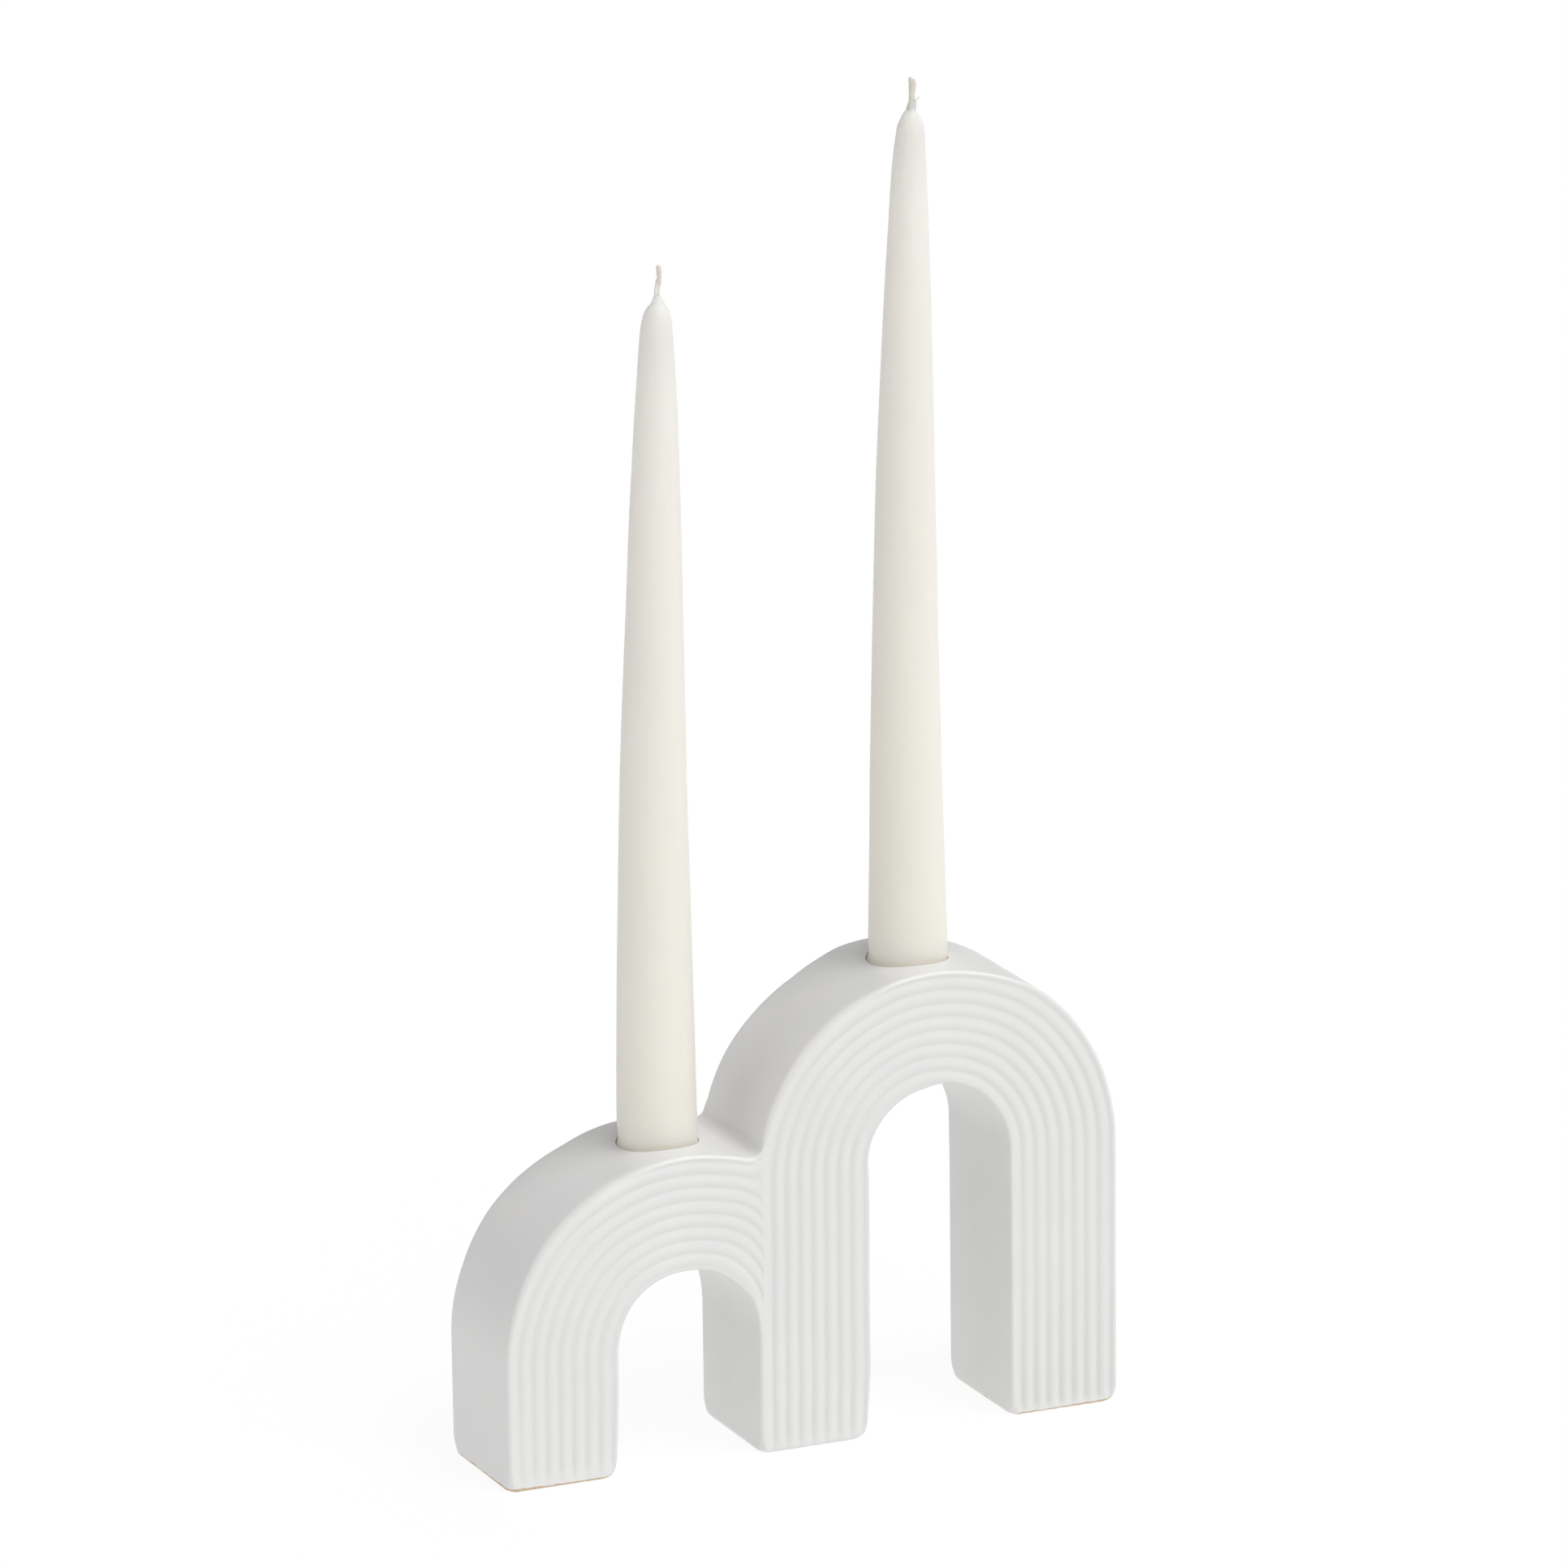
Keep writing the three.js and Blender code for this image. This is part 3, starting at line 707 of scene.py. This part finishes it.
def ceramic_body():
    even = np.linspace(0, 1, ARC_STEPS + 1)
    body = outside_of_arch("ceramic_body", tall_arch, SHARED_FOOT_ROUND, RIGHT_FOOT_ROUND, even)
    closer = [np.linspace(0, CREASE_PART, ARC_STEPS // 2), np.linspace(CREASE_PART, 1, CREASE_STEPS)[1:]]
    end_x = SHARED_LEFT + SMALL_ARCH_OVERLAP
    small = outside_of_arch("small", small_arch, LEFT_FOOT_ROUND, 0, np.concatenate(closer), end_x)
    cut(body, small, "UNION")
    set_points(body.data, handmade(points_of(body.data)))
    hollow = hollow_of_arch("hollow", tall_arch)
    cut(hollow, hollow_of_arch("small_hollow", small_arch, SHARED_LEFT + LEG_WIDTH / 2), "UNION")
    for x in LEG_CENTRES:
        cut(hollow, upright_cylinder(x, POUR_HOLE_RADIUS, -CUTTER_REACH, 2 * WALL), "UNION")
    for arch in (small_arch, tall_arch):
        cup_bottom = arch.crown - SOCKET_DEPTH - SOCKET_WALL
        cup = upright_cylinder(arch.x, SOCKET_RADIUS + SOCKET_WALL, cup_bottom, arch.crown + CUTTER_REACH)
        cut(hollow, cup, "DIFFERENCE")
    cut(body, hollow, "DIFFERENCE")
    for arch in (small_arch, tall_arch):
        cut(body, socket_cutter(arch), "DIFFERENCE")
    return body


def mark_clay_and_painted_light(body):
    """Writes the grooves' painted shade, crisp edges' painted highlight and bare clay, for the glaze."""
    points = points_of(body.data)
    x, y, z = points.T
    u, tilt, on_small, beyond = place_on_arch(points)
    beyond_face = np.abs(y) - BODY_DEPTH / 2
    on_face = ramp(beyond_face, *GROOVE_SHADE_DEPTHS)
    even_u = np.clip(u, 0, LEG_WIDTH) - np.interp(tilt, *GROOVE_SHIFT)
    # Painted shade: how much the grooves darken the glaze colour
    groove_shade = groove_recess(even_u, *edge_grooves(tilt)) / GROOVE_DEPTH * on_face
    groove_shade *= np.interp(tilt, *GROOVE_PAINTED_SHADE) * leg_grooves(x, z, u)
    # Painted highlight: a bright line along the crisp outer edge, carried up the fillet
    highlight_tilt = np.where(on_small, tilt - PAINTED_HIGHLIGHT_LAG, tilt)
    lift = PAINTED_HIGHLIGHT_COSINE * np.minimum(crease_lift(SHARED_LEFT + beyond), PAINTED_HIGHLIGHT_LIFT)
    highlight_u = np.where(on_small, u + lift, u)
    near_highlight = 1 - smooth(np.abs(highlight_u - PAINTED_HIGHLIGHT_PLACE) / PAINTED_HIGHLIGHT_WIDTH)
    painted_highlight = near_highlight * ramp(beyond_face, *PAINTED_HIGHLIGHT_DEPTHS) * band(highlight_tilt, *PAINTED_HIGHLIGHT_TILTS)
    right_tops = np.where(x < OUTER_LEG_STARTS, SHARED_CLAY_TOP, RIGHT_CLAY_TOP)
    clay_top = np.where(x < -OUTER_LEG_STARTS, LEFT_CLAY_TOP, right_tops)
    for corner_x, corner_y, rise, reach in CLAY_CORNERS:
        clay_top += rise * smooth(1 - np.hypot(x - corner_x, y - corner_y) / reach)
    clay = 1 - smooth((z - clay_top) / CLAY_FADE + 0.5)
    inside = np.abs(y) < BODY_DEPTH / 2 - WALL + INSIDE_MARGIN
    inside &= (u > WALL - INSIDE_SIDE_MARGIN) & (u < LEG_WIDTH - WALL + INSIDE_SIDE_MARGIN)
    for arch in (small_arch, tall_arch):
        round_socket = np.hypot(x - arch.x, y) > SOCKET_RADIUS + INSIDE_SOCKET_MARGIN
        inside &= round_socket | (z < arch.crown - SOCKET_DEPTH - INSIDE_MARGIN)
    store_point_values(body.data, groove_shade, painted_highlight, np.where(inside, 1, clay))


# Tapers and wicks

def curve_through(knots, heights):
    """Smooth values at the heights, by cubic pieces through knots of (height, value, value...)."""
    knots = np.array(knots, dtype=float)
    at = knots[:, 0]
    index = np.clip(np.searchsorted(at, heights) - 1, 0, len(at) - 2)
    span = at[index + 1] - at[index]
    t = (heights - at[index]) / span
    out = []
    for values in knots[:, 1:].T:
        slope = np.gradient(values, at)
        out.append(
            (2 * t**3 - 3 * t**2 + 1) * values[index] + (t**3 - 2 * t**2 + t) * span * slope[index]
            + (3 * t**2 - 2 * t**3) * values[index + 1] + (t**3 - t**2) * span * slope[index + 1]
        )
    return out


def taper(name, arch, knots):
    """A dipped candle; its foot is pressed into the socket along the curve of the crown."""
    foot, top = knots[0][0], knots[-1][0]
    heights = np.concatenate([
        np.linspace(foot + FOOT_START, FOOT_END, FOOT_RINGS),
        np.linspace(SWELL_START, SWELL_TOP, SWELL_RINGS),
        np.linspace(SWELL_TOP, TIP_START, TAPER_RINGS)[1:],
        np.linspace(TIP_START, top, TIP_RINGS)[1:],
    ])
    radii, bends = curve_through(knots, heights)
    foot_radius, foot_bend = knots[0][1], knots[0][2]
    profile = [(foot + rise, foot_radius * part, foot_bend) for rise, part in FOOT_CHAMFER]
    profile += list(zip(heights, radii, bends))
    turn = np.linspace(0, 2 * math.pi, ROUND_SIDES, endpoint=False)
    rings = []
    for height, radius, bend in profile:
        oval = 1
        for share, lobes, twist, first in OVALITY:
            oval = oval + share * np.sin(lobes * turn + twist * height + first)
        x = bend + radius * oval * np.cos(turn)
        sag = (arch.outer - np.sqrt(arch.outer**2 - x**2)) * band(height, *SAG_HEIGHTS)
        rings.append(np.stack([arch.x + x, radius * oval * np.sin(turn), arch.crown + height - sag], 1))
    obj = loft(name, rings)
    height = np.repeat([station[0] for station in profile], ROUND_SIDES)
    # The second value marks where painted shade tints the wax at the socket's mouth
    store_point_values(obj.data, (height - foot) / (top - foot), band(height, *MOUTH_SHADE_HEIGHTS))
    return obj


def tube(name, path, radii, sides):
    """A closed tube with rounded ends along path."""
    tangents = np.gradient(path, axis=0)
    tangents /= np.linalg.norm(tangents, axis=1)[:, None]
    side = np.cross(tangents, [0, 1, 0])
    side /= np.linalg.norm(side, axis=1)[:, None]
    other = np.cross(tangents, side)

    def cap_station(end, outward, t):
        angle = t * math.pi / 2
        centre = path[end] + outward * tangents[end] * radii[end] * math.cos(angle)
        return centre, side[end], other[end], radii[end] * math.sin(angle)

    stations = [cap_station(0, -1, t) for t in CAP_STEPS]
    stations += list(zip(path, side, other, radii))
    stations += [cap_station(-1, 1, t) for t in reversed(CAP_STEPS)]
    turn = np.linspace(0, 2 * math.pi, sides, endpoint=False)[:, None]
    return loft(name, [c + r * (np.cos(turn) * s + np.sin(turn) * o) for c, s, o, r in stations])


def wick(name, arch, knots, strands, climb, stray=None):
    """Twisted cotton: strands that wind round the centre line, joined into one skin, waxed up to climb."""
    heights = np.linspace(knots[0][0], knots[-1][0], WICK_STATIONS)
    bends, spread = curve_through(knots, heights)
    obj = None
    for start, pitch, thin, thick, shorter in strands:
        turn = start + 2 * math.pi * (heights - heights[-1]) / pitch
        x = arch.x + bends + spread * np.cos(turn)
        path = np.stack([x, spread * np.sin(turn), arch.crown + heights], 1)
        reached = heights <= heights[-1] - shorter
        radii = np.interp(heights[reached], STRAND_SWELL, (thin, thick))
        strand = tube(name, path[reached], radii, STRAND_SIDES)
        obj = strand if obj is None else cut(obj, strand, "UNION")
    if stray is not None:
        path = np.array(stray) + [arch.x, 0, arch.crown]
        cut(obj, tube("fibre", path, np.linspace(*FIBRE_RADII, len(path)), FIBRE_SIDES), "UNION")
    x, _, z = points_of(obj.data).T
    height = z - arch.crown
    side = np.clip((x - arch.x - np.interp(height, heights, bends)) / CLIMB_SIDE, -1, 1)
    waxed = 1 - smooth((height - np.interp(side, (-1, 1), climb)) / CLIMB_FADE + 0.5)
    store_point_values(obj.data, waxed, waxed, waxed)
    return obj


# Materials

class Nodes:
    """Short ways to add and link the nodes of one material."""

    def __init__(self, name):
        self.material = bpy.data.materials.new(name)
        self.material.use_nodes = True
        self.tree = self.material.node_tree
        self.shader = self.tree.nodes["Principled BSDF"]
        place = self.add("ShaderNodeTexCoord")
        scale = self.add("ShaderNodeVectorMath", operation="SCALE")
        scale.inputs["Scale"].default_value = 1 / MM
        self.link(place.outputs["Object"], scale.inputs[0])
        self.point = scale.outputs[0]

    def add(self, kind, **settings):
        node = self.tree.nodes.new(kind)
        for key, value in settings.items():
            setattr(node, key, value)
        return node

    def link(self, source, target):
        self.tree.links.new(source, target)

    def point_values(self):
        """The three values stored on each point."""
        attribute = self.add("ShaderNodeAttribute", attribute_name="point_values")
        parts = self.add("ShaderNodeSeparateColor")
        self.link(attribute.outputs["Color"], parts.inputs[0])
        return parts.outputs

    def noise(self, size_mm, detail=3.0, stretch=(1, 1, 1), offset=0.0):
        """Smooth noise whose blobs are about size_mm across."""
        mapping = self.add("ShaderNodeMapping")
        mapping.inputs["Scale"].default_value = stretch
        mapping.inputs["Location"].default_value = (offset, offset * 0.7, offset * 0.3)
        self.link(self.point, mapping.inputs["Vector"])
        node = self.add("ShaderNodeTexNoise")
        node.inputs["Scale"].default_value = 1 / size_mm
        node.inputs["Detail"].default_value = detail
        self.link(mapping.outputs[0], node.inputs["Vector"])
        return node.outputs["Fac"]

    def spread(self, noise, low, high, span=NOISE_SPAN):
        """Brings most of a noise between low and high."""
        return self.remap(noise, *span, low, high)

    def remap(self, value, low, high, to_low, to_high, curve="LINEAR"):
        node = self.add("ShaderNodeMapRange", interpolation_type=curve)
        for key, number in zip(("From Min", "From Max", "To Min", "To Max"), (low, high, to_low, to_high)):
            node.inputs[key].default_value = number
        self.link(value, node.inputs["Value"])
        return node.outputs["Result"]

    def math(self, operation, a, b):
        node = self.add("ShaderNodeMath", operation=operation)
        for socket, value in zip(node.inputs, (a, b)):
            if isinstance(value, (int, float)):
                socket.default_value = value
            else:
                self.link(value, socket)
        return node.outputs[0]

    def mix(self, factor, a, b):
        node = self.add("ShaderNodeMix", data_type="RGBA")
        self.link(factor, node.inputs["Factor"])
        for socket, value in zip((node.inputs[6], node.inputs[7]), (a, b)):
            if isinstance(value, tuple):
                socket.default_value = (*value, 1)
            else:
                self.link(value, socket)
        return node.outputs[2]

    def bump(self, height, distance_mm, below=None):
        node = self.add("ShaderNodeBump")
        node.inputs["Distance"].default_value = distance_mm * MM
        self.link(height, node.inputs["Height"])
        if below is not None:
            self.link(below, node.inputs["Normal"])
        return node.outputs[0]

    def set(self, **values):
        for key, value in values.items():
            self.shader.inputs[key.replace("_", " ")].default_value = value


def glaze_material():
    """Satin glaze: painted shade in grooves, painted highlight on crisp edges, down to ragged bare clay."""
    n = Nodes("glaze")
    groove_shade, painted_highlight, clay = n.point_values()
    cloud = n.spread(n.noise(14, 4), 0, 1, CLOUDY_SPAN)
    colour = n.mix(cloud, *GLAZE)
    # Painted shade in the grooves
    colour = n.mix(n.math("MULTIPLY", groove_shade, 0.9), colour, GLAZE_SHADED_IN_GROOVES)
    # Painted highlight on the crisp edges
    colour = n.mix(n.math("MULTIPLY", painted_highlight, 0.5), colour, GLAZE_PAINTED_HIGHLIGHT)
    speck = n.remap(n.noise(0.9, 1, offset=31), 0.79, 0.82, 0, 0.35)
    colour = n.mix(speck, colour, GLAZE_SPECK)
    ragged = n.math("ADD", clay, n.spread(n.noise(3.5, 3, offset=7), -0.35, 0.35))
    bare = n.remap(ragged, 0.35, 0.65, 0, 1, "SMOOTHSTEP")
    bare = n.math("MULTIPLY", bare, n.remap(clay, 0.02, 0.2, 0, 1))
    tan = n.mix(n.spread(n.noise(1.2, 2, offset=3), 0, 1), *BARE_CLAY)
    n.link(n.mix(bare, colour, tan), n.shader.inputs["Base Color"])
    gloss = n.spread(n.noise(9, 3, offset=11), 0.36, 0.44)
    n.link(n.math("ADD", gloss, n.math("MULTIPLY", bare, 0.4)), n.shader.inputs["Roughness"])
    wavy = n.bump(n.noise(7, 1, offset=5), 0.05)
    peel = n.bump(n.noise(0.9, 2, offset=9), 0.012, wavy)
    gritty = n.bump(n.math("MULTIPLY", n.noise(0.35, 2, offset=13), bare), 0.05, peel)
    n.link(gritty, n.shader.inputs["Normal"])
    n.set(IOR=1.5)
    return n.material


def wax_material():
    """Dipped wax that pales upwards, with streaks, shallow dips and painted shade at the socket's mouth."""
    n = Nodes("wax")
    along, at_socket, _ = n.point_values()
    cloud = n.spread(n.noise(18, 3, (1, 1, 0.35)), 0, 1, CLOUDY_SPAN)
    low = n.mix(cloud, *WAX_LOW)
    high = n.mix(cloud, *WAX_HIGH)
    colour = n.mix(n.remap(along, 0.1, 0.9, 0, 1, "SMOOTHSTEP"), low, high)
    colour = n.mix(n.remap(along, 0.88, 0.97, 0, 1, "SMOOTHSTEP"), colour, WAX_TIP)
    # Painted shade: the wax tinted tan and darker at the socket's mouth
    mouth_shade = n.math("MULTIPLY", at_socket, n.spread(n.noise(5, 2, offset=12), 0.45, 1, CLOUDY_SPAN))
    colour = n.mix(mouth_shade, colour, WAX_SHADED_AT_MOUTH)
    streak = n.spread(n.noise(1.6, 3, (1, 1, 0.06), 17), 0, 0.25)
    n.link(n.mix(streak, colour, WAX_STREAK), n.shader.inputs["Base Color"])
    n.link(n.spread(n.noise(6, 3, offset=21), 0.42, 0.55), n.shader.inputs["Roughness"])
    dips = n.bump(n.noise(9, 2, (1, 1, 0.4), 2), 0.06)
    n.link(n.bump(n.noise(1.1, 3, (1, 1, 0.5), 4), 0.01, dips), n.shader.inputs["Normal"])
    n.set(Subsurface_Weight=0.8, Subsurface_Radius=(1.0, 0.93, 0.8), Subsurface_Scale=0.008, IOR=1.44)
    return n.material


def cotton_material():
    """Cotton fibres, soaked with wax up to a ragged line."""
    n = Nodes("wick_cotton")
    point_values = n.add("ShaderNodeAttribute", attribute_name="point_values")
    ragged = n.math("ADD", point_values.outputs["Fac"], n.spread(n.noise(0.5, 2, (1, 1, 0.4), 8), -0.3, 0.3))
    waxed = n.remap(ragged, 0.3, 0.7, 0, 1, "SMOOTHSTEP")
    fibre = n.noise(0.16, 3, (1, 1, 0.2), 6)
    cotton = n.mix(n.spread(fibre, 0, 1), *COTTON)
    n.link(n.mix(waxed, cotton, COTTON_WAXED), n.shader.inputs["Base Color"])
    n.link(n.remap(waxed, 0, 1, 0.88, 0.5), n.shader.inputs["Roughness"])
    n.link(n.bump(fibre, 0.05), n.shader.inputs["Normal"])
    n.set(Subsurface_Weight=0.25, Subsurface_Radius=(1.0, 0.8, 0.6), Subsurface_Scale=0.001)
    return n.material


# Assembly

def finish_piece(obj, material, body, node):
    for polygon in obj.data.polygons:
        polygon.use_smooth = True
    obj.data.set_sharp_from_angle(angle=math.radians(SMOOTH_ANGLE))
    obj.data.materials.clear()
    obj.data.materials.append(material)
    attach(obj, body)
    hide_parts(node)


glaze, wax, cotton = glaze_material(), wax_material(), cotton_material()

ceramic = ceramic_body()
mark_clay_and_painted_light(ceramic)
finish_piece(ceramic, glaze, "holder", "holder_body")
small_candle = taper("small_candle", small_arch, SMALL_TAPER)
finish_piece(small_candle, wax, "small_arch_candle", "small_arch_taper")
tall_candle = taper("tall_candle", tall_arch, TALL_TAPER)
finish_piece(tall_candle, wax, "tall_arch_candle", "tall_arch_taper")
small_wick = wick("small_wick", small_arch, SMALL_WICK, SMALL_STRANDS, SMALL_CLIMB)
finish_piece(small_wick, cotton, "small_arch_candle", "small_arch_wick")
tall_wick = wick("tall_wick", tall_arch, TALL_WICK, TALL_STRANDS, TALL_CLIMB, STRAY_FIBRE)
finish_piece(tall_wick, cotton, "tall_arch_candle", "tall_arch_wick")

# Stage, light and camera

for name, azimuth, elevation, strength, softness, colour in LAMPS:
    turn, rise = math.radians(azimuth), math.radians(elevation)
    level_part = math.cos(rise)
    towards = Vector((math.sin(turn) * level_part, -math.cos(turn) * level_part, math.sin(rise)))
    lamp_data = bpy.data.lights.new(name, "SUN")
    lamp_data.energy = strength
    lamp_data.color = colour
    lamp_data.angle = math.radians(softness)
    lamp = bpy.data.objects.new(name, lamp_data)
    bpy.context.scene.collection.objects.link(lamp)
    lamp.rotation_mode = "QUATERNION"
    lamp.rotation_quaternion = (-towards).to_track_quat("-Z", "Y")

world = bpy.data.worlds.new("world")
world.use_nodes = True
world.node_tree.nodes["Background"].inputs["Color"].default_value = (1, 1, 1, 1)
world.node_tree.nodes["Background"].inputs["Strength"].default_value = WORLD_STRENGTH
bpy.context.scene.world = world

floor_corners = [(x * FLOOR_REACH, y * FLOOR_REACH, 0) for x, y in ((-1, -1), (1, -1), (1, 1), (-1, 1))]
floor = make_object("floor", floor_corners, [(0, 1, 2, 3)])
floor_look = Nodes("floor")
floor_look.set(
    Base_Color=(FLOOR_COLOUR, FLOOR_COLOUR, FLOOR_COLOUR, 1), Roughness=0.9, Specular_IOR_Level=0.0,
    Emission_Color=(1, 1, 1, 1), Emission_Strength=FLOOR_GLOW,
)
floor.data.materials.append(floor_look.material)

camera_data = bpy.data.cameras.new("camera")
camera = bpy.data.objects.new("camera", camera_data)
bpy.context.scene.collection.objects.link(camera)
camera_data.sensor_width = SENSOR_WIDTH
camera_data.lens = CAMERA_LENS
camera_data.clip_start, camera_data.clip_end = CAMERA_CLIP
azimuth, elevation, roll = (math.radians(a) for a in (CAMERA_AZIMUTH, CAMERA_ELEVATION, CAMERA_ROLL))
level = Vector((math.sin(azimuth), math.cos(azimuth), 0))
forward = level * math.cos(elevation) - Vector((0, 0, math.sin(elevation)))
right = Vector((math.cos(azimuth), -math.sin(azimuth), 0))
up = right.cross(forward)
turned_right = right * math.cos(roll) + up * math.sin(roll)
turned_up = up * math.cos(roll) - right * math.sin(roll)
camera.matrix_world = Matrix((
    (turned_right.x, turned_up.x, -forward.x, CAMERA_PLACE[0] * MM),
    (turned_right.y, turned_up.y, -forward.y, CAMERA_PLACE[1] * MM),
    (turned_right.z, turned_up.z, -forward.z, CAMERA_PLACE[2] * MM),
    (0, 0, 0, 1),
))
bpy.context.scene.camera = camera
bpy.context.scene.view_settings.view_transform = "Standard"
